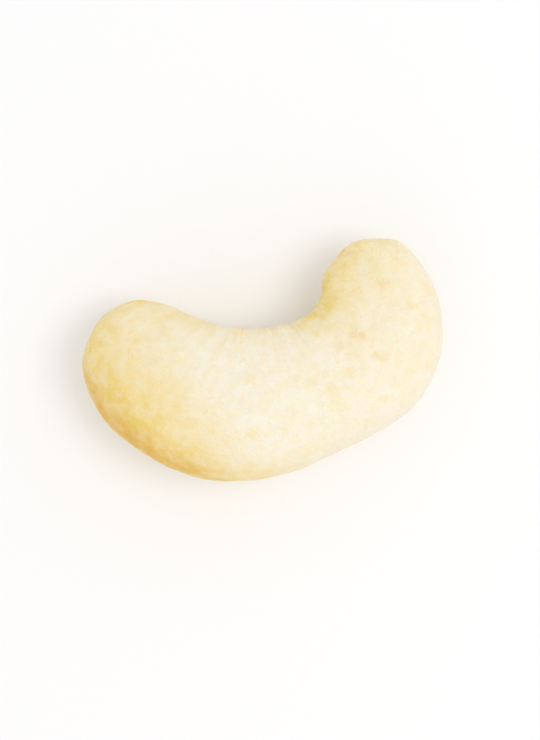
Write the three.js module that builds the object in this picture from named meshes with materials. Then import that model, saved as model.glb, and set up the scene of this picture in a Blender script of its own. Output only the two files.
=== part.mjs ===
// A whole cashew kernel lying on its side, in millimetres, +Z up.
//
// The kernel is one solid. It is lofted through ribs that each cross it from its inner edge, in the
// notch, to its outer edge, round the back. Each section is a soft oval between those two edges. The
// skin is then pushed in or out by small features: the seam where the kernel's two halves meet, the
// valley inside the notch, the creases that fan out of it, shallow dents, and the germ's tip in the
// cleft at the hooked end.
//
// +X runs from the blunt lobe to the hooked lobe, the notch opens towards +Y, and the seam lies level,
// about halfway up. The origin is under the middle of the kernel, on the surface it lies on.
import * as THREE from "three";
import { mergeVertices } from "three/addons/utils/BufferGeometryUtils.js";

// The two tips, where the inner and outer edges meet: x, y, and height above the surface.
const BLUNT_TIP = [-11.57, 6.49, 4.5];
const HOOKED_TIP = [10.33, 7.09, 4.8];

// Ribs from the blunt tip to the hooked tip: x, y of the inner edge and of the outer edge, half the
// thickness, and the height of the section's middle above the surface. Where half the thickness is
// the greater of the last two, the underside is flattened, and the kernel rests there.
const RIBS = [
  { inner: [-10.27, 7.32], outer: [-12.72, 5.26], half: 1.75, height: 4.3 },
  { inner: [-8.17, 7.54], outer: [-13.45, 3.06], half: 3.15, height: 3.95 },
  { inner: [-5.9, 6.52], outer: [-12.85, -0.47], half: 4.15, height: 4.07 },
  { inner: [-3.42, 4.9], outer: [-10.27, -4.17], half: 4.7, height: 4.62 },
  { inner: [-1.07, 3.76], outer: [-5.8, -6.92], half: 4.95, height: 4.87 },
  { inner: [1.13, 3.26], outer: [-0.27, -7.59], half: 4.95, height: 4.87 },
  { inner: [3.23, 3.31], outer: [5.38, -6.87], half: 4.8, height: 4.72 },
  { inner: [4.73, 4.21], outer: [10.18, -5.14], half: 4.5, height: 4.42 },
  { inner: [5.36, 5.59], outer: [12.88, -1.44], half: 4.05, height: 3.97 },
  { inner: [6.68, 6.76], outer: [13.4, 2.35], half: 3.3, height: 3.95 },
  { inner: [8.33, 7.48], outer: [12.48, 5.36], half: 2.0, height: 4.5 },
];

// The section.
const SQUARENESS = 0.035; // how far the section stands out at its four corners, as a share of its radius
const FULL_BACK = 0.09; // how much thicker the back is than the notch's side, as a share of the thickness

// The seam between the two halves.
const SEAM_DEPTH = 0.09;
const SEAM_HALF_WIDTH = 0.24;
const SEAM_WAVE = 0.12; // how far the seam wanders from the middle
const SEAM_WAVES = 2.6; // from tip to tip
const CLEFT_DEPTH = 0.1; // how much deeper the seam is at the hooked tip
const CLEFT_REACH = 2.6;

// The valley along the seam inside the notch.
const VALLEY_DEPTH = 0.34;
const VALLEY_HALF_WIDTH = 1.7;

// Creases that fan out of the notch.
const NOTCH_CENTRE = [1.3, 7.05];
const NOTCH_RADIUS = 4.1;
const CREASE_DEPTH = 0.05;
const CREASE_ANGLE = 0.42; // radians from one crease to the next
const CREASE_SWAY = 1.4; // how unevenly they are spaced, in radians of a crease's own wave
const CREASE_SWAY_RATE = 2.3; // swings of that unevenness for each radian round the notch
const CREASE_REACH = 2.4; // how far out of the notch they run

// Shallow dents: place, radius and depth. A negative depth is a swelling.
const DENTS = [
  { at: [-4.3, -0.4, 10.4], radius: 3.6, depth: 0.16 },
  { at: [2.5, -3.2, 10.1], radius: 3.0, depth: 0.14 },
  { at: [9.3, 1.8, 9.2], radius: 2.6, depth: -0.14 },
  { at: [-9.7, 4.0, 9.4], radius: 3.0, depth: -0.12 },
  { at: [8.8, -5.8, 5.6], radius: 3.0, depth: 0.06 },
  { at: [-10.9, -3.0, 4.6], radius: 3.2, depth: 0.14 },
  { at: [-1.7, -7.4, 6.6], radius: 2.8, depth: -0.12 },
];

// The germ's tip, an oval bead in the cleft at the hooked tip.
const GERM_PLACE = [11.25, 6.4, 4.9];
const GERM_LENGTH = 1.1;
const GERM_WIDTH = 0.6;
const GERM_HEIGHT = 0.3;

// The mesh: steps along the kernel, steps across each of its four sides, and how they are shared out.
const STEPS_ALONG = 76;
const STEPS_ACROSS = 14;
const CAP_SHARE = 0.055; // share of the length that each rounded cap of the mesh covers
const SEAM_CROWDING = 0.68; // how much closer the rows are at the seam

const skinColour = new THREE.Color().setRGB(0.93, 0.86, 0.7, THREE.SRGBColorSpace);

// The outline as one closed curve. Its third coordinate is half the thickness, negative on the way
// back, so that it passes smoothly through nothing at both tips.
function outlineCurve() {
  const innerEdge = RIBS.map(({ inner, half }) => new THREE.Vector3(...inner, half));
  const outerEdge = RIBS.map(({ outer, half }) => new THREE.Vector3(...outer, -half)).reverse();
  const bluntTip = new THREE.Vector3(...BLUNT_TIP.slice(0, 2), 0);
  const hookedTip = new THREE.Vector3(...HOOKED_TIP.slice(0, 2), 0);
  const points = [bluntTip, ...innerEdge, hookedTip, ...outerEdge];
  return new THREE.CatmullRomCurve3(points, true, "catmullrom", 0.5);
}

// The height of the section's middle, from the blunt tip to the hooked tip.
function middleCurve() {
  const heights = [BLUNT_TIP[2], ...RIBS.map((rib) => rib.height), HOOKED_TIP[2]];
  const points = heights.map((height) => new THREE.Vector3(0, 0, height));
  return new THREE.CatmullRomCurve3(points, false, "catmullrom", 0.5);
}

const outline = outlineCurve();
const middleHeight = middleCurve();
const bell = (distance, reach) => Math.exp(-((distance / reach) ** 2));

// Turns a point of a box's skin, 2 on a side, into a place on the kernel: the share of the length
// that lies before it, and the angle round it from the inner edge, over the top, to the outer edge.
function placeOnKernel(x, y, z) {
  const out = Math.max(Math.abs(y), Math.abs(z));
  let share = CAP_SHARE + ((1 - 2 * CAP_SHARE) * (x + 1)) / 2;
  if (out < 1) share = x < 0 ? CAP_SHARE * out : 1 - CAP_SHARE * out;
  let angle = 0;
  if (Math.abs(z) > Math.abs(y)) angle = Math.sign(z) * (Math.PI / 2) - (Math.PI / 4) * (y / z);
  else if (out > 0) angle = (Math.PI / 4) * (z / y) + (y < 0 ? Math.PI : 0);
  return { share, angle: angle - (SEAM_CROWDING / 2) * Math.sin(2 * angle) };
}

// A point of the plain skin, before the small features, and its height above the seam.
function skinPoint({ share, angle }) {
  const inner = outline.getPoint(share / 2);
  const outer = outline.getPoint(1 - share / 2);
  const middle = inner.clone().add(outer).multiplyScalar(0.5);
  const halfThickness = inner.z;
  const corner = 1 + (SQUARENESS * (1 - Math.cos(4 * angle))) / 2;
  const across = Math.cos(angle) * corner;
  const height = Math.sin(angle) * corner * (1 - FULL_BACK * Math.cos(angle)) * halfThickness;
  const point = new THREE.Vector3(
    middle.x + across * (inner.x - middle.x),
    middle.y + across * (inner.y - middle.y),
    middleHeight.getPoint(share).z + height,
  );
  const wave = SEAM_WAVE * Math.sin(Math.PI * share) * Math.sin(2 * Math.PI * SEAM_WAVES * share);
  return { point, innerness: (1 + Math.cos(angle)) / 2, aboveSeam: height - wave };
}

// How far the small features push the skin out at a point, or in where negative.
function relief({ point, innerness, aboveSeam }) {
  const fromTip = Math.hypot(point.x - HOOKED_TIP[0], point.y - HOOKED_TIP[1]);
  const seamDepth = SEAM_DEPTH + CLEFT_DEPTH * bell(fromTip, CLEFT_REACH);
  const seam = -seamDepth * bell(aboveSeam, SEAM_HALF_WIDTH);

  const notchX = point.x - NOTCH_CENTRE[0];
  const notchY = point.y - NOTCH_CENTRE[1];
  const outOfNotch = Math.max(0, Math.hypot(notchX, notchY) - NOTCH_RADIUS);
  const nearNotch = innerness ** 2 * bell(outOfNotch, CREASE_REACH);
  const turn = Math.atan2(notchX, -notchY);
  const sway = CREASE_SWAY * Math.sin(CREASE_SWAY_RATE * turn);
  const fan = Math.sin((2 * Math.PI * turn) / CREASE_ANGLE + sway);
  const creases = CREASE_DEPTH * nearNotch * fan;
  const valley = -VALLEY_DEPTH * nearNotch * bell(aboveSeam, VALLEY_HALF_WIDTH);

  let dents = 0;
  for (const { at, radius, depth } of DENTS) {
    dents -= depth * bell(point.distanceTo(new THREE.Vector3(...at)), radius);
  }

  const alongGerm = Math.hypot(point.x - GERM_PLACE[0], point.y - GERM_PLACE[1]);
  const germ = GERM_HEIGHT * bell(alongGerm, GERM_LENGTH) * bell(point.z - GERM_PLACE[2], GERM_WIDTH);
  return seam + creases + valley + dents + germ;
}

function kernelGeometry() {
  const geometry = new THREE.BoxGeometry(2, 2, 2, STEPS_ALONG, STEPS_ACROSS, STEPS_ACROSS);
  geometry.deleteAttribute("normal");
  geometry.deleteAttribute("uv");
  const skin = mergeVertices(geometry, 1e-5);
  skin.clearGroups();
  const position = skin.getAttribute("position");
  const places = [];
  for (let i = 0; i < position.count; i++) {
    const place = placeOnKernel(position.getX(i), position.getY(i), position.getZ(i));
    places.push(skinPoint(place));
    position.setXYZ(i, ...places[i].point);
  }
  skin.computeVertexNormals();
  const outward = skin.getAttribute("normal");
  const normal = new THREE.Vector3();
  for (let i = 0; i < position.count; i++) {
    const pushed = places[i].point.clone();
    pushed.addScaledVector(normal.fromBufferAttribute(outward, i), relief(places[i]));
    position.setXYZ(i, pushed.x, pushed.y, Math.max(pushed.z, 0));
  }
  skin.computeBoundingBox();
  const middle = skin.boundingBox.getCenter(new THREE.Vector3());
  skin.translate(-middle.x, -middle.y, 0);
  skin.computeVertexNormals();
  return skin;
}

function kernel() {
  const skin = new THREE.MeshStandardMaterial({ color: skinColour, roughness: 0.6, metalness: 0 });
  const mesh = new THREE.Mesh(kernelGeometry(), skin);
  mesh.name = "kernel";
  return mesh;
}

const cashew = new THREE.Group();
cashew.add(kernel());

export default cashew;
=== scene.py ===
"""A whole cashew kernel, lying on its side on a plain pale floor.

The kernel's skin is lofted through ribs, from the blunt lobe to the hooked lobe. A geometry node tree
then works the relief into it: the seam between the two halves, the valley and the creases in the notch,
fine wrinkles, faint lines, pits and gentle waves. Lengths are in metres where nothing else is said.

Every point of the skin keeps its share of the length, from 0 at the blunt tip to 1 at the hooked tip,
its innerness, from 0 on the back to 1 in the notch, and its topness, from 0 underneath to 1 on top.
"""
import math

import bmesh
import bpy
import numpy as np
from bpy.props import FloatProperty, FloatVectorProperty, IntProperty, PointerProperty
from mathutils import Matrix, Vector


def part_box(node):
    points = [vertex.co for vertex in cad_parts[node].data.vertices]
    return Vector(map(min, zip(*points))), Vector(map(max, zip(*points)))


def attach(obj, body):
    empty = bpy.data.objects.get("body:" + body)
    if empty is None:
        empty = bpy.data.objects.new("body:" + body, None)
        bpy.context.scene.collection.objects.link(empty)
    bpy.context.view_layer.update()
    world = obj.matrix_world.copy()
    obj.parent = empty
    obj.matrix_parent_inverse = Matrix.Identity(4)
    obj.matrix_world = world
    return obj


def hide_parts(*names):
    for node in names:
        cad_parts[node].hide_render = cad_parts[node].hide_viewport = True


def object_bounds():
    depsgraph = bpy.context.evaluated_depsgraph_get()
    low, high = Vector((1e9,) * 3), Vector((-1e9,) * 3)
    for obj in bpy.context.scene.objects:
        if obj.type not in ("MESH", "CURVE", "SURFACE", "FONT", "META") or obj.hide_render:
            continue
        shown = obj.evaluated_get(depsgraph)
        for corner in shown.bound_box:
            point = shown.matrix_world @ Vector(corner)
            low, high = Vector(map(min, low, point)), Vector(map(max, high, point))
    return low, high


bl_info = {
    "name": "Cashew kernel",
    "version": (1, 0, 0),
    "blender": (4, 5, 0),
    "location": "3D View > Sidebar > Cashew",
    "description": "Grows one cashew kernel in its packed frame, with a floor, lights and a camera",
    "category": "Add Mesh",
}

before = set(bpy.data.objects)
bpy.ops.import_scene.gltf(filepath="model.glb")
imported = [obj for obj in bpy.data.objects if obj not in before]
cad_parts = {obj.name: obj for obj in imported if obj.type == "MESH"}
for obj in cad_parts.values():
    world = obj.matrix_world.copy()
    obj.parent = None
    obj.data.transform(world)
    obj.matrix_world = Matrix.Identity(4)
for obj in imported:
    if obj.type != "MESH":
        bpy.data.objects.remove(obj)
CAD_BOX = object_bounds()
KERNEL_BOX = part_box("kernel")

MM = 0.001
LEVEL = (1, 1, 0)  # what a vector is multiplied by to lose its height

# The two tips, where the inner and outer edges meet, in millimetres: x, y, and height above the floor.
BLUNT_TIP = (-11.57, 6.49, 4.5)
HOOKED_TIP = (10.33, 7.09, 4.8)

# Ribs from the blunt tip to the hooked tip, in millimetres: x, y of the inner edge, x, y of the outer
# edge, half the thickness, and the height of the section's middle above the floor.
RIBS = (
    ((-10.27, 7.32), (-12.72, 5.26), 1.75, 4.3),
    ((-8.17, 7.54), (-13.45, 3.06), 3.15, 3.95),
    ((-5.9, 6.52), (-12.85, -0.47), 4.15, 4.07),
    ((-3.42, 4.9), (-10.27, -4.17), 4.7, 4.62),
    ((-1.07, 3.76), (-5.8, -6.92), 4.95, 4.87),
    ((1.13, 3.26), (-0.27, -7.59), 4.95, 4.87),
    ((3.23, 3.31), (5.38, -6.87), 4.8, 4.72),
    ((4.73, 4.21), (10.18, -5.14), 4.5, 4.42),
    ((5.36, 5.59), (12.88, -1.44), 4.05, 3.97),
    ((6.68, 6.76), (13.4, 2.35), 3.3, 3.95),
    ((8.33, 7.48), (12.48, 5.36), 2.0, 4.5),
)

# The section, and how the seam wanders from its middle.
SQUARENESS = 0.035  # how far the section stands out at its four corners, as a share of its radius
FULL_BACK = 0.09  # how much thicker the back is than the notch's side, as a share of the thickness
SEAM_WAVE = 0.12  # in millimetres
SEAM_WAVES = 2.6  # from tip to tip

# Shallow dents, in millimetres: place, radius and depth. A negative depth is a swelling.
DENTS = (
    ((-4.3, -0.4, 10.4), 3.6, 0.16),
    ((2.5, -3.2, 10.1), 3.0, 0.14),
    ((9.3, 1.8, 9.2), 2.6, -0.14),
    ((-9.7, 4.0, 9.4), 3.0, -0.12),
    ((8.8, -5.8, 5.6), 3.0, 0.06),
    ((-10.9, -3.0, 4.6), 3.2, 0.14),
    ((-1.7, -7.4, 6.6), 2.8, -0.12),
)

# The mesh: steps along the kernel, steps across each of its four sides, and how they are shared out.
STEPS_ALONG = 300
STEPS_ACROSS = 64
CAP_SHARE = 0.055  # share of the length that each rounded cap of the mesh covers
SEAM_CROWDING = 0.6  # how much closer the rows are at the seam

# The seam's groove and the hairline in it. Both are faint on the back, clear of the tips.
GROOVE_STRAY = 0.25 * MM  # how far the groove can stray from side to side of the seam's course
GROOVE_DEPTHS = (0.45, 1.25)  # the least and the greatest, as shares of its depth
HAIRLINE_HALF_WIDTH = 0.085 * MM
HAIRLINE_DEPTHS = (0.1, 1.0)
BACK_SEAM = 0.45  # how much of both is left on the back
BACK_START = (0.5, 0.05)  # the innerness over which the back begins
BLUNT_SEAM_END = (0.02, 0.2)  # the share of the length over which each tip gives way to the back
HOOKED_SEAM_END = (0.98, 0.8)
CLEFT_REACH = 2.6 * MM  # how far from the hooked tip the groove is deeper

# The swelling beside the seam, and how far from the seam one half stands proud.
LIP_GAP = 0.5 * MM
LIP_HALF_WIDTH = 0.28 * MM
STEP_REACH = 0.9 * MM
STEP_GAIN = 4.0  # brings noise, mostly within 0.25 of its middle, up to the whole step

# The germ's tip, an oval bead in the cleft.
GERM_PLACE = (11.25 * MM, 6.4 * MM, 4.9 * MM)
GERM_LENGTH = 1.1 * MM
GERM_WIDTH = 0.6 * MM
GERM_HEIGHT = 0.3 * MM

# The notch: its valley, its creases, and the finer wrinkles between them.
NOTCH_CENTRE = (1.3 * MM, 7.05 * MM, 0.0)
NOTCH_RADIUS = 4.1 * MM
VALLEY_HALF_WIDTH = 1.7 * MM
CREASE_ANGLE = 0.42  # radians from one crease to the next
CREASE_SWAY = 1.4  # how unevenly they are spaced, in radians of a crease's own wave
CREASE_SWAY_RATE = 2.3  # swings of that unevenness for each radian round the notch
CREASE_REACH = 2.4 * MM  # how far out of the notch they and the valley run
WRINKLE_RATE = 9.0  # changes of their noise for each radian round the notch
WRINKLE_CHANGE = 0.12 / MM  # and for each metre out of it
WRINKLE_STRAY = 1.2  # how unevenly they run, in such changes
WRINKLE_WIDTH = 0.06  # how far from its middle the noise makes a wrinkle
WRINKLE_REACH = 4.5 * MM
WRINKLE_WALL = 4.0  # the power of the innerness that keeps them to the notch's wall
WRINKLES_START = (0.1, 0.24)  # the shares of the length over which they come and go
WRINKLES_END = (0.78, 0.6)

# Fine relief all over the skin.
VEINS_ACROSS = 10.0  # changes of their noise from one edge to the other
VEINS_ALONG = 5.0  # and from tip to tip
VEIN_GAIN = 2.0
SMALL_PIT_DEPTH = 0.4  # as a share of the large pits' depth
WAVE_HEIGHTS = (1.6, 0.5, 0.4)  # of broad, middling and fine waves, as shares of the unevenness
SEED_STEP = 1.37  # how far one seed lies from the next in the noise

# How strongly gold is painted into the hollows of the relief as shade, from 0 to 1.
GROOVE_SHADE = 0.28
WRINKLE_SHADE = 0.25
PIT_SHADE = 0.35
NOTCH_WALL_SHADE = 0.12

# The way to the flank that turns from the light, whose gold is painted shade, and the ways that its rim of
# painted bounce light, its deepest painted shade and the side with painted light face.
SHADED_FLANK_WAY = (-0.93, -0.36, -0.1)
BOUNCE_LIT_RIM = (-0.93, 0.36, 0.05)
SHADED_RIM = (-0.68, -0.7, -0.22)
LIT_SIDE = (0.96, -0.27, 0.0)

# Where the painted shade in gold and amber comes in, and gives way at the lit edge, in millimetres along
# those ways from the middle.
SHADE_GOLD_FLANK = (1.5, 12.0)
SHADE_AMBER_FLANK = (7.0, 13.5)
SHADE_AMBER_RIM = (4.0, 10.5)
HOOK_WALL = (7.8, 3.0)
LIT_LOBE_EDGE = (12.0, 7.5)

# Where they come in by how squarely the skin faces such a way, or upwards, from -1 to 1.
BOUNCE_LIT_RIM_FACING = (0.4, 1.0)
SHADED_RIM_FACING = (0.2, 0.92)
LIT_SIDE_FACING = (-0.1, 0.65)
SIDES_UPWARD = (1.0, 0.08)
GOLD_UPWARD = (-0.5, 0.1)
AMBER_UPWARD = (-0.25, 0.45)

# Where they come in by the share of the length, and by the innerness.
NOTCH_FLOOR_START = (0.28, 0.4)
NOTCH_FLOOR_END = (0.68, 0.52)
NOTCH_FLOOR_INNERNESS = (0.5, 0.9)
HOOK_WALL_START = (0.54, 0.72)
LOBE_START = (0.6, 0.82)
HOOKED_TIP_START = (0.84, 0.97)
RAGGEDNESS = 0.28  # how far the borders beside the notch can stray in all, in shares of the length

# How strongly the gold and amber show, from 0 to 1: painted shade, and on the sides partly the roasted tone.
# the rim with less gold is painted bounce light
SHADED_FLANK_GOLD = (0.97, 0.52)  # away from the pale rim, and on it
SIDES_ROAST_AND_SHADE = 0.64
HOOK_WALL_SHADE_GOLD = 0.72
LOBE_GOLD = 0.26
RIM_SHADE_AMBER = 0.8
FLANK_SHADE_AMBER = 0.25
AMBER_MOTTLING = (0.75, 1.25)

# How much of them is left in some places.
LIT_SIDE_LEFT = 0.08
NOTCH_FLOOR_LEFT = 0.3
HOOKED_TIP_LEFT = 0.5
LIT_LOBE_EDGE_LEFT = 0.35
GOLD_BELOW_LEFT = 0.35
AMBER_BELOW_LEFT = 0.12

# How strongly the other colours show, from 0 to 1.
HONEY_PATCHES = 0.16
HONEY_MOTTLING = 0.36
BLOOM_STRENGTH = 0.45
SPECKLE_STRENGTH = 0.25
FRECKLE_STRENGTH = 0.34
SCATTERED_FRECKLES = 0.7  # as a share of that
TRACE_STRENGTHS = (0.18, 0.75)  # of the seam's tan line, and of the crumbs in it

# The chalky streaks that run out of the notch.
STREAK_RATE = 8.0  # changes of their noise for each radian round the notch
STREAK_CHANGE = 0.35  # and for each millimetre out of it
STREAK_REACH = (6.0, 1.0)  # in millimetres out of the notch, from none to all

# Spots are ragged, and full in their core alone.
JITTER = 0.9  # how far their outline can stray in all, in millimetres
SPOT_CORE = 0.35  # shares of the radius
FRECKLE_CORE = 0.2
UPPER_SIDE = (5.5, 6.5)  # heights in millimetres over which placed freckles replace scattered ones

# Freckles on the upper side: x, y and radius in millimetres, and how strongly each shows.
FRECKLES = (
    (7.75, -1.15, 0.6, 0.9),
    (8.2, -1.25, 0.55, 0.7),
    (6.65, 0.95, 0.55, 0.7),
    (7.05, 0.55, 0.55, 0.8),
    (5.35, 0.25, 0.55, 0.9),
    (7.65, -0.25, 0.5, 0.4),
    (8.05, 0.95, 0.5, 0.6),
    (11.15, 1.85, 0.5, 0.5),
    (9.55, 3.95, 0.6, 0.7),
    (9.95, 3.75, 0.45, 0.4),
    (1.65, -1.05, 0.55, 0.45),
    (2.85, -2.85, 0.5, 0.3),
    (6.45, -3.25, 0.5, 0.25),
    (-0.05, -4.35, 0.45, 0.35),
    (-10.45, 0.25, 0.6, 0.6),
    (-6.85, 4.75, 0.6, 0.35),
)

# The finest relief of the skin, a bump: its depth, and each pattern's part in it.
BUMP_DEPTH = 0.13 * MM
GRAIN_BUMP = 0.5
PORE_BUMP = 0.2
STRIATION_BUMP = 0.6
DIMPLE_BUMP = -0.25
STRIATIONS_ACROSS = 18.0  # changes of their noise from one edge to the other
STRIATIONS_ALONG = 16.0  # and from tip to tip

# The stage.
IMAGE_WIDTH = 540
IMAGE_HEIGHT = 740
CLIP_START = 1 * MM
FLOOR_SIZE = 4.0
KEY_SIZE = 0.2
KEY_PLACE = (0.19, -0.05, 0.41)
KEY_TINT = (1.0, 0.995, 0.985)
FILL_SIZE = 0.5
FILL_PLACE = (-0.2, -0.4, 0.25)
FILL_TINT = (1.0, 0.9, 0.75)
SKY_TINT = (1.0, 0.995, 0.988)

# The relief tree's inputs, and the settings that they come from.
RELIEF_INPUTS = (
    ("Seam Depth", "seam_depth"),
    ("Seam Half Width", "seam_half_width"),
    ("Hairline Depth", "hairline_depth"),
    ("Lip Height", "lip_height"),
    ("Half Step", "half_step"),
    ("Cleft Depth", "cleft_depth"),
    ("Valley Depth", "valley_depth"),
    ("Crease Depth", "crease_depth"),
    ("Wrinkle Depth", "wrinkle_depth"),
    ("Vein Depth", "vein_depth"),
    ("Pit Depth", "pit_depth"),
    ("Unevenness", "unevenness"),
)


def from_srgb(red, green, blue):
    """A colour given on the screen's scale, 0 to 255, as the linear values that shaders use."""
    shares = [value / 255 for value in (red, green, blue)]
    return tuple(s / 12.92 if s <= 0.04045 else ((s + 0.055) / 1.055) ** 2.4 for s in shares)


def length(name, description, default):
    """A length that the sidebar shows in the scene's units."""
    return FloatProperty(
        name=name, description=description, default=default, unit="LENGTH", subtype="DISTANCE", precision=5
    )


def colour(name, description, red, green, blue):
    """A colour that the sidebar shows as a swatch."""
    return FloatVectorProperty(
        name=name,
        description=description,
        default=from_srgb(red, green, blue),
        subtype="COLOR",
        min=0.0,
        max=1.0,
    )


class CashewRelief(bpy.types.PropertyGroup):
    """Depths and spacings of what is worked into the kernel's skin."""

    seam_depth: length("Seam depth", "Depth of the soft groove where the halves meet", 0.09 * MM)
    seam_half_width: length("Seam half width", "Half the width of that groove", 0.24 * MM)
    hairline_depth: length("Hairline depth", "Depth of the fine line at the groove's bottom", 0.07 * MM)
    lip_height: length("Lip height", "How far the halves swell beside the groove", 0.035 * MM)
    half_step: length("Half step", "How far one half stands proud of the other in places", 0.05 * MM)
    cleft_depth: length("Cleft depth", "How much deeper the groove is at the hooked tip", 0.1 * MM)
    valley_depth: length("Valley depth", "Depth of the broad valley inside the notch", 0.34 * MM)
    crease_depth: length("Crease depth", "Depth of the creases that fan out of the notch", 0.05 * MM)
    wrinkle_depth: length("Wrinkle depth", "Depth of the fine wrinkles between the creases", 0.045 * MM)
    vein_depth: length("Vein depth", "Depth of the faint lines along the kernel", 0.03 * MM)
    pit_depth: length("Pit depth", "Depth of the small pits", 0.05 * MM)
    unevenness: length("Unevenness", "Height of the skin's gentle waves", 0.24 * MM)
    seed: IntProperty(name="Seed", description="Picks where the fine relief falls", default=7, min=0)


class CashewFinish(bpy.types.PropertyGroup):
    """Colours of the kernel's flesh, with the gold and amber that stand in for shade in places."""

    flesh: colour("Flesh", "The pale cream of most of the skin", 253, 242, 227)
    honey: colour("Honey", "Slightly deeper patches", 251, 233, 184)
    bloom: colour("Bloom", "Chalky streaks and flecks", 254, 246, 238)
    # painted shade: the gold stands in for shade on the flank, the hooked lobe's wall and the hollows, and on
    # the sides it is partly the roasted tone and partly painted shade
    gold: colour("Gold", "The flank, the lobes, the sides and the hollows", 242, 215, 122)
    # painted shade: the amber stands in for the deepest shade on the low rim of the flank
    shadow_amber: colour("Amber", "Where the gold is deepest", 230, 180, 76)
    speckle: colour("Speckle", "Soft golden spots", 247, 218, 140)
    freckle: colour("Freckle", "Small tan spots", 234, 202, 128)
    trace: colour("Skin traces", "The tan line in the seam, and crumbs of brown skin", 178, 122, 62)


class CashewStage(bpy.types.PropertyGroup):
    """The floor, the light and the camera."""

    floor: colour("Floor", "The plain floor", 250, 250, 251)
    key_power: FloatProperty(
        name="Key power", description="Power of the large soft light", default=0.42, unit="POWER", min=0
    )
    fill_power: FloatProperty(
        name="Fill power", description="Power of the weak light", default=0.1, unit="POWER", min=0
    )
    sky: FloatProperty(name="Sky", description="Strength of the light from all round", default=0.86, min=0)
    turn: FloatProperty(
        name="Camera turn",
        description="How far the camera is turned about its own axis, looking straight down",
        default=math.radians(-15.4),
        subtype="ANGLE",
    )
    focal_length: FloatProperty(
        name="Focal length", description="Length of the camera's lens", default=120.0, unit="CAMERA"
    )
    view_width: length("View width", "Width of what the camera shows, at the kernel", 40 * MM)


class Nodes:
    """Adds nodes to a tree, joined to the values or sockets that they are given."""

    def __init__(self, tree):
        self.tree = tree

    def add(self, kind, inputs=None, **settings):
        """One node. Its inputs are named or numbered, each a socket or a plain value."""
        node = self.tree.nodes.new(kind)
        for name, value in settings.items():
            setattr(node, name, value)
        for name, value in (inputs or {}).items():
            self.join(value, node.inputs[name])
        return node

    def join(self, value, socket):
        """Links a socket to an input, or sets the input to a plain value."""
        if isinstance(value, bpy.types.NodeSocket):
            self.tree.links.new(value, socket)
        else:
            socket.default_value = value

    def math(self, operation, *values):
        """A sum on one, two or three numbers."""
        return self.add("ShaderNodeMath", dict(enumerate(values)), operation=operation).outputs[0]

    def total(self, *values):
        """All the numbers added up."""
        result = values[0]
        for value in values[1:]:
            result = self.math("ADD", result, value)
        return result

    def product(self, *values):
        """All the numbers multiplied."""
        result = values[0]
        for value in values[1:]:
            result = self.math("MULTIPLY", result, value)
        return result

    def either(self, *shares):
        """Several shares of the same whole laid over each other, which never come to more than all of it."""
        left = self.product(*(self.math("SUBTRACT", 1.0, share) for share in shares))
        return self.math("SUBTRACT", 1.0, left)

    def vector(self, operation, *values, output="Vector"):
        """A sum on vectors."""
        return self.add("ShaderNodeVectorMath", dict(enumerate(values)), operation=operation).outputs[output]

    def scaled(self, vector, factor):
        """A vector made longer or shorter."""
        node = self.add("ShaderNodeVectorMath", {0: vector, "Scale": factor}, operation="SCALE")
        return node.outputs["Vector"]

    def along(self, vector, way):
        """How far a vector reaches along some way."""
        return self.vector("DOT_PRODUCT", vector, way, output="Value")

    def combine(self, x, y, z):
        """A vector of three numbers."""
        return self.add("ShaderNodeCombineXYZ", {"X": x, "Y": y, "Z": z}).outputs[0]

    def parts(self, vector):
        """The three numbers of a vector."""
        return self.add("ShaderNodeSeparateXYZ", {0: vector}).outputs

    def bell(self, distance, reach):
        """1 where the distance is nothing, falling smoothly to nothing past the reach."""
        share = self.math("DIVIDE", distance, reach)
        return self.math("EXPONENT", self.product(share, share, -1.0))

    def between(self, value, span, out=(0.0, 1.0)):
        """A smooth step from the first of out to the second, as the value crosses the span."""
        sockets = ("From Min", "From Max", "To Min", "To Max")
        inputs = {"Value": value, **dict(zip(sockets, (*span, *out)))}
        node = self.add("ShaderNodeMapRange", inputs, interpolation_type="SMOOTHSTEP")
        return node.outputs["Result"]

    def noise(self, vector, scale, detail=2.0, roughness=0.5, seed=0.0):
        """Cloudy noise, about 0.2 to 0.8, with one patch in each 1/scale of the vector's unit."""
        inputs = {"Vector": vector, "W": seed, "Scale": scale, "Detail": detail, "Roughness": roughness}
        return self.add("ShaderNodeTexNoise", inputs, noise_dimensions="4D").outputs[0]

    def stray(self, vector, scale, detail=2.0, seed=0.0):
        """Cloudy noise from -0.5 to 0.5, mostly within 0.25 of nothing."""
        return self.math("SUBTRACT", self.noise(vector, scale, detail, seed=seed), 0.5)

    def patches(self, vector, scale, cut, out=(0.0, 1.0), detail=2.0, roughness=0.5, seed=0.0):
        """Soft patches, where cloudy noise passes the cut."""
        return self.between(self.noise(vector, scale, detail, roughness, seed), cut, out)

    def cells(self, vector, scale, seed=0.0):
        """Scattered points: the distance to the nearest, in units of 1/scale, and its own random number."""
        inputs = {"Vector": vector, "W": seed, "Scale": scale}
        node = self.add("ShaderNodeTexVoronoi", inputs, voronoi_dimensions="4D")
        return node.outputs["Distance"], self.parts(node.outputs["Color"])[0]

    def spots(self, vector, scale, radius, share, seed=0.0):
        """1 inside round soft spots at some share of scattered points, and nothing elsewhere."""
        distance, chance = self.cells(vector, scale, seed)
        inside = self.between(distance, (radius, radius * SPOT_CORE))
        return self.product(inside, self.math("LESS_THAN", chance, share))

    def lengthways(self, innerness, topness, share, across, along):
        """A place whose noise makes lines along the kernel: it changes fast across it and slowly along it."""
        around = (self.product(innerness, across), self.product(topness, across))
        return self.combine(*around, self.product(share, along))

    def blend(self, factor, first, second):
        """A colour between two colours."""
        node = self.add("ShaderNodeMix", {"Factor": factor}, data_type="RGBA")
        inputs = {socket.identifier: socket for socket in node.inputs}
        outputs = {socket.identifier: socket for socket in node.outputs}
        self.join(first, inputs["A_Color"])
        self.join(second, inputs["B_Color"])
        return outputs["Result_Color"]


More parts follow.
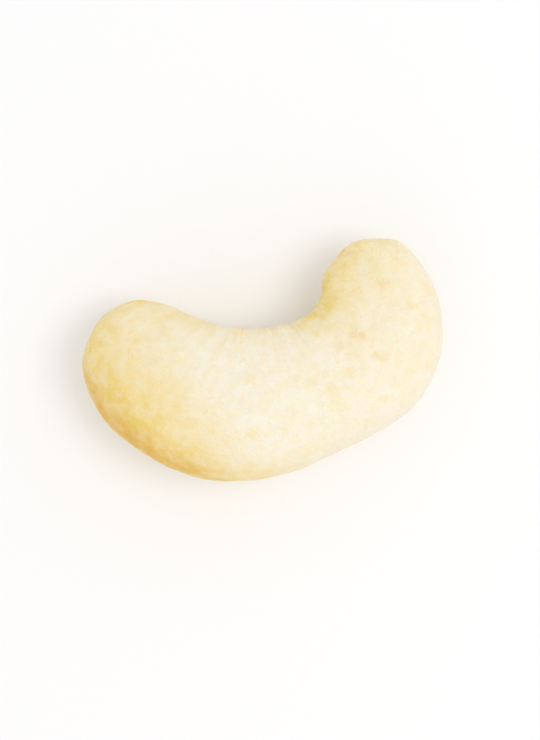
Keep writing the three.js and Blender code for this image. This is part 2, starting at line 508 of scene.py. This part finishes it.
def smooth_curve(points, places, closed):
    """Points on the smooth curve through some points. A place is counted in points from the first."""
    points = np.asarray(points, float)
    if closed:
        ring = points
    else:
        before_first = 2 * points[0] - points[1]
        after_last = 2 * points[-1] - points[-2]
        ring = np.vstack([points, after_last, before_first])
    start = np.floor(places).astype(int)
    if not closed:
        start = np.clip(start, 0, len(points) - 2)
    part = (places - start)[:, None]
    before, here, ahead, beyond = (ring[(start + step) % len(ring)] for step in (-1, 0, 1, 2))
    leaving, arriving = (ahead - before) / 2, (beyond - here) / 2
    bend = 2 * (here - ahead) + leaving + arriving
    sweep = 3 * (ahead - here) - 2 * leaving - arriving
    return here + part * (leaving + part * (sweep + part * bend))


def box_skin(along, across):
    """The skin of a box, 2 on a side, cut into steps: its points, and its faces of four points."""
    steps = (along, across, across)
    index = {}
    faces = []
    for axis in range(3):
        u, v = (axis + 1) % 3, (axis + 2) % 3
        for end in (0, steps[axis]):
            for i in range(steps[u]):
                for j in range(steps[v]):
                    corners = []
                    for du, dv in ((0, 0), (1, 0), (1, 1), (0, 1)):
                        corner = [0, 0, 0]
                        corner[axis], corner[u], corner[v] = end, i + du, j + dv
                        corners.append(index.setdefault(tuple(corner), len(index)))
                    faces.append(corners if end else corners[::-1])
    points = np.array(list(index), float) * 2 / np.array(steps) - 1
    return points, faces


def place_on_kernel(box):
    """Turns points of the box's skin into places on the kernel: the share of the length that lies
    before each, and the angle round it from the inner edge, over the top, to the outer edge."""
    x, y, z = box.T
    out = np.maximum(np.abs(y), np.abs(z))
    share = CAP_SHARE + (1 - 2 * CAP_SHARE) * (x + 1) / 2
    on_cap = out < 1
    share[on_cap] = np.where(x < 0, CAP_SHARE * out, 1 - CAP_SHARE * out)[on_cap]
    angle = np.zeros(len(x))
    upright = np.abs(z) > np.abs(y)
    level = ~upright & (out > 0)
    angle[upright] = (np.sign(z) * math.pi / 2)[upright] - math.pi / 4 * y[upright] / z[upright]
    angle[level] = math.pi / 4 * z[level] / y[level] + np.where(y < 0, math.pi, 0)[level]
    return share, angle - SEAM_CROWDING / 2 * np.sin(2 * angle)


def plain_skin(share, angle):
    """Points of the plain skin in millimetres, and their heights above the seam."""
    inner = [(*rib[0], rib[2]) for rib in RIBS]
    outer = [(*rib[1], -rib[2]) for rib in RIBS]
    outline = [(*BLUNT_TIP[:2], 0), *inner, (*HOOKED_TIP[:2], 0), *outer[::-1]]
    heights = [(BLUNT_TIP[2],), *((rib[3],) for rib in RIBS), (HOOKED_TIP[2],)]
    spans = len(RIBS) + 1
    inside = smooth_curve(outline, share * spans, closed=True)
    outside = smooth_curve(outline, (2 - share) * spans % (2 * spans), closed=True)
    middle_height = smooth_curve(heights, share * spans, closed=False)[:, 0]
    middle = (inside + outside) / 2
    corner = 1 + SQUARENESS * (1 - np.cos(4 * angle)) / 2
    across = np.cos(angle) * corner
    height = np.sin(angle) * corner * (1 - FULL_BACK * np.cos(angle)) * inside[:, 2]
    points = middle + across[:, None] * (inside - middle)
    points[:, 2] = middle_height + height
    wave = SEAM_WAVE * np.sin(math.pi * share) * np.sin(2 * math.pi * SEAM_WAVES * share)
    return points, height - wave


def push_dents(points, outward):
    """The skin's points with the dents pressed in and the swellings raised."""
    depth = np.zeros(len(points))
    for place, radius, dent in DENTS:
        distance = np.linalg.norm(points - place, axis=1)
        depth += dent * np.exp(-((distance / radius) ** 2))
    return points - depth[:, None] * outward


def fix_outward(mesh):
    """Turns every face outwards."""
    work = bmesh.new()
    work.from_mesh(mesh)
    bmesh.ops.recalc_face_normals(work, faces=work.faces)
    work.to_mesh(mesh)
    work.free()


def add_attribute(mesh, name, values):
    """Keeps one number for each point of a mesh."""
    attribute = mesh.attributes.new(name, "FLOAT", "POINT")
    attribute.data.foreach_set("value", np.asarray(values, np.float32))


def link(name, data):
    """A new object in the scene."""
    made = bpy.data.objects.new(name, data)
    bpy.context.scene.collection.objects.link(made)
    return made


def lofted_skin():
    """The kernel's plain skin with its dents, and where each point lies on the kernel."""
    box, faces = box_skin(STEPS_ALONG, STEPS_ACROSS)
    share, angle = place_on_kernel(box)
    points, above_seam = plain_skin(share, angle)
    mesh = bpy.data.meshes.new("kernel_skin")
    mesh.from_pydata((points * MM).tolist(), [], faces)
    fix_outward(mesh)
    outward = np.zeros(len(points) * 3)
    mesh.vertex_normals.foreach_get("vector", outward)
    points = push_dents(points, outward.reshape(-1, 3)) * MM
    middle = (points.min(0) + points.max(0)) / 2
    frame_middle = (KERNEL_BOX[0] + KERNEL_BOX[1]) / 2
    points[:, :2] += np.array(frame_middle[:2]) - middle[:2]
    mesh.vertices.foreach_set("co", points.ravel())
    mesh.update()
    add_attribute(mesh, "share", share)
    add_attribute(mesh, "innerness", (1 + np.cos(angle)) / 2)
    add_attribute(mesh, "topness", (1 + np.sin(angle)) / 2)
    add_attribute(mesh, "above_seam", above_seam * MM)
    return link("kernel_loft", mesh)


class Relief(Nodes):
    """The nodes of the relief tree. A feature's own method gives how far it pushes the skin out."""

    def __init__(self, tree):
        super().__init__(tree)
        self.inputs = self.add("NodeGroupInput").outputs
        self.place = self.add("GeometryNodeInputPosition").outputs[0]
        self.in_mm = self.scaled(self.place, 1 / MM)
        self.share = self.kept("share")
        self.innerness = self.kept("innerness")
        self.topness = self.kept("topness")
        self.above_seam = self.kept("above_seam")
        self.seed = self.product(self.inputs["Seed"], SEED_STEP)
        self.find_notch()
        self.find_seam()
        self.find_wrinkles()
        self.find_pits()

    def kept(self, name):
        """A number that the loft kept for each point."""
        node = self.add("GeometryNodeInputNamedAttribute", {"Name": name}, data_type="FLOAT")
        return node.outputs["Attribute"]

    def level_distance(self, place):
        """How far a point is from a place, seen from above."""
        gap = self.vector("SUBTRACT", self.place, place)
        flat = self.vector("MULTIPLY", gap, LEVEL)
        return self.vector("LENGTH", flat, output="Value")

    def find_notch(self):
        """Where a point lies round the notch's centre, how far out of the notch, and how near it."""
        gap = self.parts(self.vector("SUBTRACT", self.place, NOTCH_CENTRE))
        self.turn = self.math("ARCTAN2", gap[0], self.product(gap[1], -1.0))
        beyond = self.math("SUBTRACT", self.level_distance(NOTCH_CENTRE), NOTCH_RADIUS)
        self.out_of_notch = self.math("MAXIMUM", beyond, 0.0)
        inner_side = self.product(self.innerness, self.innerness)
        self.near_notch = self.product(inner_side, self.bell(self.out_of_notch, CREASE_REACH))

    def find_seam(self):
        """Where the groove and its hairline lie, both faint on the back."""
        clear_of_tips = self.product(
            self.between(self.share, BLUNT_SEAM_END), self.between(self.share, HOOKED_SEAM_END)
        )
        back = self.product(self.between(self.innerness, BACK_START), clear_of_tips)
        faint = self.between(back, (0.0, 1.0), (1.0, BACK_SEAM))
        stray = self.stray(self.in_mm, scale=0.8, seed=self.seed)
        height = self.total(self.above_seam, self.product(stray, GROOVE_STRAY))
        self.groove = self.product(self.bell(height, self.inputs["Seam Half Width"]), faint)
        opened = self.patches(self.in_mm, scale=0.5, cut=(0.4, 0.62), out=HAIRLINE_DEPTHS, seed=3.1)
        self.hairline = self.product(self.bell(height, HAIRLINE_HALF_WIDTH), opened, faint)

    def find_wrinkles(self):
        """Fine broken lines that run the same way as the creases, and where on the wall they show."""
        stray = self.product(self.stray(self.in_mm, scale=0.35, seed=5.2), WRINKLE_STRAY)
        turn = self.total(self.product(self.turn, WRINKLE_RATE), stray)
        fan = self.combine(turn, self.product(self.out_of_notch, WRINKLE_CHANGE), 0.0)
        lines = self.math("ABSOLUTE", self.stray(fan, scale=1.0, detail=3.0, seed=self.seed))
        self.wrinkle = self.between(lines, (WRINKLE_WIDTH, 0.0))
        self.wrinkled = self.product(
            self.math("POWER", self.innerness, WRINKLE_WALL),
            self.between(self.share, WRINKLES_START),
            self.between(self.share, WRINKLES_END),
            self.bell(self.out_of_notch, WRINKLE_REACH),
        )

    def find_pits(self):
        """Small soft pits, few and scattered."""
        large = self.spots(self.in_mm, scale=0.55, radius=0.34, share=0.22, seed=self.seed)
        small = self.spots(self.in_mm, scale=1.3, radius=0.36, share=0.35, seed=2.4)
        self.pit = self.total(large, self.product(small, SMALL_PIT_DEPTH))

    def seam(self):
        """The soft groove, uneven and deeper at the hooked tip, with its hairline."""
        cleft = self.bell(self.level_distance([v * MM for v in HOOKED_TIP]), CLEFT_REACH)
        depth = self.total(self.inputs["Seam Depth"], self.product(cleft, self.inputs["Cleft Depth"]))
        uneven = self.patches(self.in_mm, scale=0.4, cut=(0.32, 0.68), out=GROOVE_DEPTHS, seed=self.seed)
        groove = self.product(depth, uneven, self.groove)
        hairline = self.product(self.hairline, self.inputs["Hairline Depth"])
        return self.product(self.total(groove, hairline), -1.0)

    def lips(self):
        """The swelling of both halves beside the seam, and one half a little proud of the other."""
        aside = self.math("SUBTRACT", self.math("ABSOLUTE", self.above_seam), LIP_GAP)
        swelling = self.product(self.bell(aside, LIP_HALF_WIDTH), self.inputs["Lip Height"])
        lean = self.stray(self.in_mm, scale=0.3, detail=1.0, seed=6.6)
        upper = self.product(self.above_seam, self.bell(self.above_seam, STEP_REACH), 1 / STEP_REACH)
        return self.total(swelling, self.product(lean, upper, self.inputs["Half Step"], STEP_GAIN))

    def valley(self):
        """The broad valley along the seam inside the notch."""
        broad = self.bell(self.above_seam, VALLEY_HALF_WIDTH)
        return self.product(self.near_notch, broad, self.inputs["Valley Depth"], -1.0)

    def creases(self):
        """The creases that fan out of the notch."""
        sway = self.product(self.math("SINE", self.product(self.turn, CREASE_SWAY_RATE)), CREASE_SWAY)
        phase = self.total(self.product(self.turn, 2 * math.pi / CREASE_ANGLE), sway)
        return self.product(self.near_notch, self.math("SINE", phase), self.inputs["Crease Depth"])

    def wrinkles(self):
        """The fine wrinkles in the notch."""
        return self.product(self.wrinkled, self.wrinkle, self.inputs["Wrinkle Depth"], -1.0)

    def veins(self):
        """Faint lines along the kernel."""
        where = (self.innerness, self.topness, self.share)
        course = self.lengthways(*where, across=VEINS_ACROSS, along=VEINS_ALONG)
        lines = self.stray(course, scale=1.0, seed=self.seed)
        return self.product(lines, VEIN_GAIN, self.inputs["Vein Depth"])

    def pits(self):
        """The small soft pits."""
        return self.product(self.pit, self.inputs["Pit Depth"], -1.0)

    def waves(self):
        """The gentle unevenness of the whole skin."""
        broad = self.stray(self.in_mm, scale=0.22, detail=1.0, seed=self.seed)
        middling = self.stray(self.in_mm, scale=0.75, detail=1.0, seed=8.8)
        fine = self.stray(self.in_mm, scale=1.6, detail=2.0, seed=4.4)
        every = self.total(*map(self.product, (broad, middling, fine), WAVE_HEIGHTS))
        return self.product(every, self.inputs["Unevenness"])

    def germ(self):
        """The germ's tip, an oval bead in the cleft at the hooked tip."""
        height = self.math("SUBTRACT", self.parts(self.place)[2], GERM_PLACE[2])
        along = self.bell(self.level_distance(GERM_PLACE), GERM_LENGTH)
        return self.product(along, self.bell(height, GERM_WIDTH), GERM_HEIGHT)

    def push(self):
        """How far all the features together push the skin out, or in where negative."""
        return self.total(
            self.seam(),
            self.lips(),
            self.valley(),
            self.creases(),
            self.wrinkles(),
            self.veins(),
            self.pits(),
            self.waves(),
            self.germ(),
        )

    def hollow_shade(self):
        """How much gold is painted into the skin's hollows as shade."""
        return self.total(
            self.product(self.groove, GROOVE_SHADE),
            self.product(self.wrinkle, self.wrinkled, WRINKLE_SHADE),
            self.product(self.pit, PIT_SHADE),
            self.product(self.wrinkled, NOTCH_WALL_SHADE),
        )


def relief_tree(settings, material):
    """The node tree that works the relief into the lofted skin, and keeps what the finish reads."""
    tree = bpy.data.node_groups.new("kernel_relief", "GeometryNodeTree")
    face = tree.interface
    face.new_socket("Geometry", in_out="OUTPUT", socket_type="NodeSocketGeometry")
    face.new_socket("Geometry", in_out="INPUT", socket_type="NodeSocketGeometry")
    for name, key in RELIEF_INPUTS:
        socket = face.new_socket(name, in_out="INPUT", socket_type="NodeSocketFloat")
        socket.subtype = "DISTANCE"
        socket.default_value = getattr(settings, key)
    face.new_socket("Seed", in_out="INPUT", socket_type="NodeSocketInt")
    face.new_socket("Material", in_out="INPUT", socket_type="NodeSocketMaterial")

    relief = Relief(tree)
    push = relief.push()
    outward = relief.add("GeometryNodeInputNormal").outputs[0]
    # What the finish reads: the painted shade of the hollows, and the ways the skin faces, by which it paints
    # shade and light.
    kept = {
        "hollow_shade": relief.hollow_shade(),
        "hairline": relief.hairline,
        "upward": relief.parts(outward)[2],
        "bounce_lit_rim": relief.along(outward, BOUNCE_LIT_RIM),
        "shaded_rim": relief.along(outward, SHADED_RIM),
        "lit_side": relief.along(outward, LIT_SIDE),
        "notch_turn": relief.turn,
        "notch_gap": relief.product(relief.out_of_notch, 1 / MM),
    }
    geometry = relief.inputs["Geometry"]
    for name, value in kept.items():
        store = relief.add(
            "GeometryNodeStoreNamedAttribute",
            {"Geometry": geometry, "Name": name, "Value": value},
            data_type="FLOAT",
            domain="POINT",
        )
        geometry = store.outputs[0]

    offset = relief.scaled(outward, push)
    moved = relief.add("GeometryNodeSetPosition", {"Geometry": geometry, "Offset": offset}).outputs[0]
    place = relief.parts(relief.add("GeometryNodeInputPosition").outputs[0])
    on_floor = relief.combine(place[0], place[1], relief.math("MAXIMUM", place[2], 0.0))
    rested = relief.add("GeometryNodeSetPosition", {"Geometry": moved, "Position": on_floor}).outputs[0]
    smooth = relief.add("GeometryNodeSetShadeSmooth", {"Geometry": rested}).outputs[0]
    real = relief.add("GeometryNodeRealizeInstances", {"Geometry": smooth}).outputs[0]
    dressing = {"Geometry": real, "Material": relief.inputs["Material"]}
    dressed = relief.add("GeometryNodeSetMaterial", dressing).outputs[0]
    relief.add("NodeGroupOutput", {"Geometry": dressed})
    return tree


def apply_tree(piece, tree, values, name):
    """Runs a node tree on a piece, and returns the result as a plain mesh object."""
    modifier = piece.modifiers.new(tree.name, "NODES")
    modifier.node_group = tree
    for socket in tree.interface.items_tree:
        if socket.in_out == "INPUT" and socket.name in values:
            modifier[socket.identifier] = values[socket.name]
    piece.update_tag()
    seen = bpy.context.evaluated_depsgraph_get()
    mesh = bpy.data.meshes.new_from_object(piece.evaluated_get(seen), depsgraph=seen)
    mesh.name = name
    bpy.data.objects.remove(piece)
    return link(name, mesh)


def new_material(name):
    """A material with an empty tree."""
    material = bpy.data.materials.new(name)
    material.use_nodes = True
    material.node_tree.nodes.clear()
    return material


class Flesh(Nodes):
    """The nodes of the flesh's colour, with its painted shade and light, and of its skin. Places are in
    millimetres.
    """

    def __init__(self, tree, finish):
        super().__init__(tree)
        self.finish = finish
        self.place = self.scaled(self.add("ShaderNodeTexCoord").outputs["Object"], 1 / MM)
        self.share = self.kept("share")
        self.innerness = self.kept("innerness")
        self.upward = self.kept("upward")
        self.drift = self.noise(self.place, scale=0.4, detail=3.0, seed=1.0)
        stray = self.product(self.math("SUBTRACT", self.drift, 0.5), RAGGEDNESS)
        self.ragged_share = self.total(self.share, stray)
        self.dimples = self.patches(
            self.place, scale=1.5, cut=(0.38, 0.64), detail=3.0, roughness=0.65, seed=14.0
        )
        jitter = self.add("ShaderNodeTexNoise", {"Vector": self.place, "Scale": 1.7, "Detail": 3.0})
        shifted = self.vector("ADD", self.place, self.scaled(jitter.outputs["Color"], JITTER))
        self.ragged_place = self.vector("SUBTRACT", shifted, (JITTER / 2,) * 3)

    def kept(self, name):
        """A number that the skin's mesh keeps for each point."""
        return self.add("ShaderNodeAttribute", attribute_name=name).outputs["Fac"]

    def on_shaded_flank(self, span):
        """A smooth rise from nothing towards the flank that turns from the light, where shade is painted."""
        return self.between(self.along(self.place, SHADED_FLANK_WAY), span)

    def clouds(self):
        """An uneven strength, about 1, that breaks up the gold of the painted shade."""
        broad = self.between(self.drift, (0.3, 0.7), (0.85, 1.2))
        close = self.patches(
            self.place, scale=1.0, cut=(0.32, 0.68), out=(0.7, 1.3), detail=3.0, roughness=0.65, seed=15.0
        )
        return self.product(broad, close)

    def honey(self):
        """Broad faint patches, and a close mottling where the skin is dimpled."""
        broad = self.patches(self.place, scale=0.3, cut=(0.42, 0.7), detail=4.0, roughness=0.6, seed=4.0)
        return self.total(self.product(broad, HONEY_PATCHES), self.product(self.dimples, HONEY_MOTTLING))

    def bloom(self):
        """Chalky streaks that run out of the notch, and chalky flecks."""
        turn = self.product(self.kept("notch_turn"), STREAK_RATE)
        gap = self.kept("notch_gap")
        fan = self.combine(turn, self.product(gap, STREAK_CHANGE), self.drift)
        streaks = self.patches(fan, scale=1.0, cut=(0.52, 0.68), detail=4.0, roughness=0.6, seed=2.0)
        streaks = self.product(streaks, self.between(gap, STREAK_REACH), BLOOM_STRENGTH)
        flecks = self.patches(self.place, scale=1.6, cut=(0.55, 0.68), detail=3.0, roughness=0.7, seed=9.0)
        return self.math("MAXIMUM", streaks, self.product(flecks, BLOOM_STRENGTH))

    def shaded_flank_gold(self):
        """Painted shade in gold on the flank that turns from the light, with less of it on the rim where
        bounce light is painted.
        """
        rim = self.between(self.kept("bounce_lit_rim"), BOUNCE_LIT_RIM_FACING, SHADED_FLANK_GOLD)
        return self.product(self.on_shaded_flank(SHADE_GOLD_FLANK), rim)

    def sides_roast_and_shade(self):
        """Gold on the upright sides, partly their roasted tone and partly painted shade where they turn from
        the light; less of it on the side with painted light, the notch's floor and the hooked tip.
        """
        notch_floor = self.product(
            self.between(self.innerness, NOTCH_FLOOR_INNERNESS),
            self.between(self.share, NOTCH_FLOOR_START),
            self.between(self.ragged_share, NOTCH_FLOOR_END),
        )
        return self.product(
            self.between(self.upward, SIDES_UPWARD, (0.0, SIDES_ROAST_AND_SHADE)),
            self.between(self.kept("lit_side"), LIT_SIDE_FACING, (1.0, LIT_SIDE_LEFT)),
            self.between(notch_floor, (0.0, 1.0), (1.0, NOTCH_FLOOR_LEFT)),
            self.between(self.share, HOOKED_TIP_START, (1.0, HOOKED_TIP_LEFT)),
        )

    def hook_shade_gold(self):
        """Painted shade in gold on the hooked lobe's wall beside the notch, and a little gold over the whole
        lobe, with less of it at the lobe's edge where light is painted.
        """
        across = self.along(self.place, LIT_SIDE)
        wall = self.product(
            self.between(across, HOOK_WALL, (0.0, HOOK_WALL_SHADE_GOLD)),
            self.between(self.ragged_share, HOOK_WALL_START),
        )
        lobe = self.product(
            self.between(across, LIT_LOBE_EDGE, (LIT_LOBE_EDGE_LEFT, 1.0)),
            self.between(self.share, LOBE_START, (0.0, LOBE_GOLD)),
        )
        return wall, lobe

    def gold(self):
        """Gold that is painted shade on the flank that turns from the light, the hooked lobe's wall and the
        hollows, partly the roasted tone and partly painted shade on the sides, and a little over the hooked
        lobe.
        """
        every = self.either(self.shaded_flank_gold(), self.sides_roast_and_shade(), *self.hook_shade_gold())
        above = self.between(self.upward, GOLD_UPWARD, (GOLD_BELOW_LEFT, 1.0))
        gold = self.product(every, above, self.clouds())
        return self.math("MINIMUM", self.total(gold, self.kept("hollow_shade")), 1.0)

    def shadow_amber(self):
        """Painted shade in amber on the low rim of the flank that turns from the light, where the painted
        shade is deepest.
        """
        low = self.between(self.kept("shaded_rim"), SHADED_RIM_FACING, (0.0, RIM_SHADE_AMBER))
        rim = self.product(low, self.on_shaded_flank(SHADE_AMBER_RIM))
        flank = self.product(self.on_shaded_flank(SHADE_AMBER_FLANK), FLANK_SHADE_AMBER)
        above = self.between(self.upward, AMBER_UPWARD, (AMBER_BELOW_LEFT, 1.0))
        mottle = self.between(self.clouds(), (0.6, 1.5), AMBER_MOTTLING)
        return self.product(self.total(rim, flank), above, mottle)

    def speckles(self):
        """Soft golden spots all over."""
        spots = self.spots(self.ragged_place, scale=0.55, radius=0.42, share=0.7, seed=8.0)
        return self.product(spots, SPECKLE_STRENGTH)

    def freckles(self):
        """Tan freckles: those on the upper side each have a place, and the rest are scattered."""
        level = self.vector("MULTIPLY", self.ragged_place, LEVEL)
        placed = 0.0
        for x, y, radius, strength in FRECKLES:
            gap = self.vector("DISTANCE", level, (x, y, 0), output="Value")
            freckle = self.between(gap, (radius, radius * FRECKLE_CORE), (0.0, strength))
            placed = self.math("MAXIMUM", placed, freckle)
        scattered = self.spots(self.ragged_place, scale=0.6, radius=0.3, share=0.7, seed=6.0)
        above = self.between(self.parts(self.place)[2], UPPER_SIDE)
        below = self.math("SUBTRACT", 1.0, above)
        every = self.total(self.product(placed, above), self.product(scattered, below, SCATTERED_FRECKLES))
        return self.product(every, FRECKLE_STRENGTH)

    def traces(self):
        """The tan line at the bottom of the seam, with crumbs of brown skin."""
        crumbs = self.patches(self.place, scale=1.9, cut=(0.55, 0.64), detail=4.0, roughness=0.65, seed=12.0)
        return self.product(self.kept("hairline"), self.between(crumbs, (0.0, 1.0), TRACE_STRENGTHS))

    def colour(self):
        """The whole colour, laid on in layers over the flesh."""
        layers = (
            (self.honey(), self.finish.honey),
            (self.bloom(), self.finish.bloom),
            # the gold and amber layers are painted shade, on the sides partly the roasted tone
            (self.gold(), self.finish.gold),
            (self.shadow_amber(), self.finish.shadow_amber),
            (self.speckles(), self.finish.speckle),
            (self.freckles(), self.finish.freckle),
            (self.traces(), self.finish.trace),
        )
        ground = (*self.finish.flesh, 1)
        for share, tint in layers:
            ground = self.blend(share, ground, (*tint, 1))
        return ground

    def skin(self):
        """The direction of the surface: dimples, a fine grain, pores, and lines along the kernel."""
        grain = self.noise(self.place, scale=5.0, detail=4.0, roughness=0.6, seed=3.0)
        pores = self.cells(self.place, scale=4.5, seed=5.0)[0]
        where = (self.innerness, self.kept("topness"), self.share)
        course = self.lengthways(*where, across=STRIATIONS_ACROSS, along=STRIATIONS_ALONG)
        striations = self.noise(course, scale=1.0, detail=3.0, roughness=0.6, seed=16.0)
        height = self.total(
            self.product(grain, GRAIN_BUMP),
            self.product(pores, PORE_BUMP),
            self.product(striations, STRIATION_BUMP),
            self.product(self.dimples, DIMPLE_BUMP),
        )
        bump = self.add("ShaderNodeBump", {"Height": height, "Strength": 1.0, "Distance": BUMP_DEPTH})
        return bump.outputs[0]

    def shine(self):
        """How rough the surface is: a little waxy in patches."""
        return self.patches(self.place, scale=0.9, cut=(0.3, 0.7), out=(0.46, 0.6), detail=3.0, seed=11.0)


def flesh_material(finish):
    """Pale, slightly translucent flesh."""
    material = new_material("cashew_flesh")
    flesh = Flesh(material.node_tree, finish)
    shader = flesh.add(
        "ShaderNodeBsdfPrincipled",
        {
            "Base Color": flesh.colour(),
            "Roughness": flesh.shine(),
            "Normal": flesh.skin(),
            "IOR": 1.45,
            "Specular IOR Level": 0.4,
            "Subsurface Weight": 0.5,
            "Subsurface Radius": (1.0, 0.72, 0.38),
            "Subsurface Scale": 0.8 * MM,
        },
    )
    flesh.add("ShaderNodeOutputMaterial", {"Surface": shader.outputs[0]})
    return material


def floor_material(stage):
    """A plain pale matt floor with the slightest unevenness."""
    material = new_material("pale_floor")
    nodes = Nodes(material.node_tree)
    place = nodes.add("ShaderNodeTexCoord").outputs["Object"]
    roughness = nodes.patches(place, scale=12.0, cut=(0.2, 0.8), out=(0.6, 0.75), detail=3.0)
    shader = nodes.add(
        "ShaderNodeBsdfPrincipled",
        {"Base Color": (*stage.floor, 1), "Roughness": roughness, "Specular IOR Level": 0.2},
    )
    nodes.add("ShaderNodeOutputMaterial", {"Surface": shader.outputs[0]})
    return material


class CASHEW_OT_kernel(bpy.types.Operator):
    """Grow the kernel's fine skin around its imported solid"""

    bl_idname = "cashew.kernel"
    bl_label = "Grow kernel"

    def execute(self, context):
        settings = context.scene.cashew_relief
        material = flesh_material(context.scene.cashew_finish)
        tree = relief_tree(settings, material)
        values = {name: getattr(settings, key) for name, key in RELIEF_INPUTS}
        values.update({"Seed": settings.seed, "Material": material})
        skin = apply_tree(lofted_skin(), tree, values, "kernel_skin")
        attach(skin, "root")
        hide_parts("kernel")
        return {"FINISHED"}


def soft_lamp(name, size, power, tint, place):
    """A square soft light that faces the kernel, which lies at the origin."""
    data = bpy.data.lights.new(name, "AREA")
    data.size = size
    data.energy = power
    data.color = tint
    lamp = link(name, data)
    lamp.location = place
    lamp.rotation_euler = (-Vector(place)).to_track_quat("-Z", "Y").to_euler()


class CASHEW_OT_stage(bpy.types.Operator):
    """Lay the floor, and set the lights and the camera that looks straight down"""

    bl_idname = "cashew.stage"
    bl_label = "Set stage"

    def execute(self, context):
        stage = context.scene.cashew_stage
        self.lay_floor(stage)
        self.light(context.scene, stage)
        self.place_camera(context.scene, stage)
        return {"FINISHED"}

    def lay_floor(self, stage):
        half = FLOOR_SIZE / 2
        mesh = bpy.data.meshes.new("floor")
        corners = [(-half, -half, 0), (half, -half, 0), (half, half, 0), (-half, half, 0)]
        mesh.from_pydata(corners, [], [(0, 1, 2, 3)])
        mesh.materials.append(floor_material(stage))
        link("floor", mesh)

    def light(self, scene, stage):
        soft_lamp("key", KEY_SIZE, stage.key_power, KEY_TINT, KEY_PLACE)
        soft_lamp("fill", FILL_SIZE, stage.fill_power, FILL_TINT, FILL_PLACE)
        world = bpy.data.worlds.new("studio")
        scene.world = world
        world.use_nodes = True
        background = world.node_tree.nodes["Background"]
        background.inputs["Color"].default_value = (*SKY_TINT, 1.0)
        background.inputs["Strength"].default_value = stage.sky
        scene.view_settings.view_transform = "Standard"

    def place_camera(self, scene, stage):
        data = bpy.data.cameras.new("camera")
        data.lens = stage.focal_length
        data.clip_start = CLIP_START
        narrow_side = data.sensor_width * IMAGE_WIDTH / IMAGE_HEIGHT
        middle = (CAD_BOX[0] + CAD_BOX[1]) / 2
        camera = link("camera", data)
        camera.location = (middle.x, middle.y, middle.z + stage.view_width * data.lens / narrow_side)
        camera.rotation_euler = (0.0, 0.0, stage.turn)
        scene.camera = camera


class CASHEW_PT_maker(bpy.types.Panel):
    """Lists the makers and their settings in the sidebar"""

    bl_label = "Cashew kernel"
    bl_space_type = "VIEW_3D"
    bl_region_type = "UI"
    bl_category = "Cashew"

    def draw(self, context):
        scene = context.scene
        for settings, maker in (
            (scene.cashew_stage, CASHEW_OT_stage),
            (scene.cashew_relief, CASHEW_OT_kernel),
            (scene.cashew_finish, None),
        ):
            box = self.layout.box()
            for name in settings.bl_rna.properties.keys():
                if name not in ("rna_type", "name"):
                    box.prop(settings, name)
            if maker:
                box.operator(maker.bl_idname)


CLASSES = (CashewRelief, CashewFinish, CashewStage, CASHEW_OT_stage, CASHEW_OT_kernel, CASHEW_PT_maker)


def register():
    for each in CLASSES:
        bpy.utils.register_class(each)
    bpy.types.Scene.cashew_relief = PointerProperty(type=CashewRelief)
    bpy.types.Scene.cashew_finish = PointerProperty(type=CashewFinish)
    bpy.types.Scene.cashew_stage = PointerProperty(type=CashewStage)


def unregister():
    del bpy.types.Scene.cashew_stage
    del bpy.types.Scene.cashew_finish
    del bpy.types.Scene.cashew_relief
    for each in reversed(CLASSES):
        bpy.utils.unregister_class(each)


def main():
    register()
    bpy.ops.cashew.stage()
    bpy.ops.cashew.kernel()


if __name__ == "__main__":
    main()
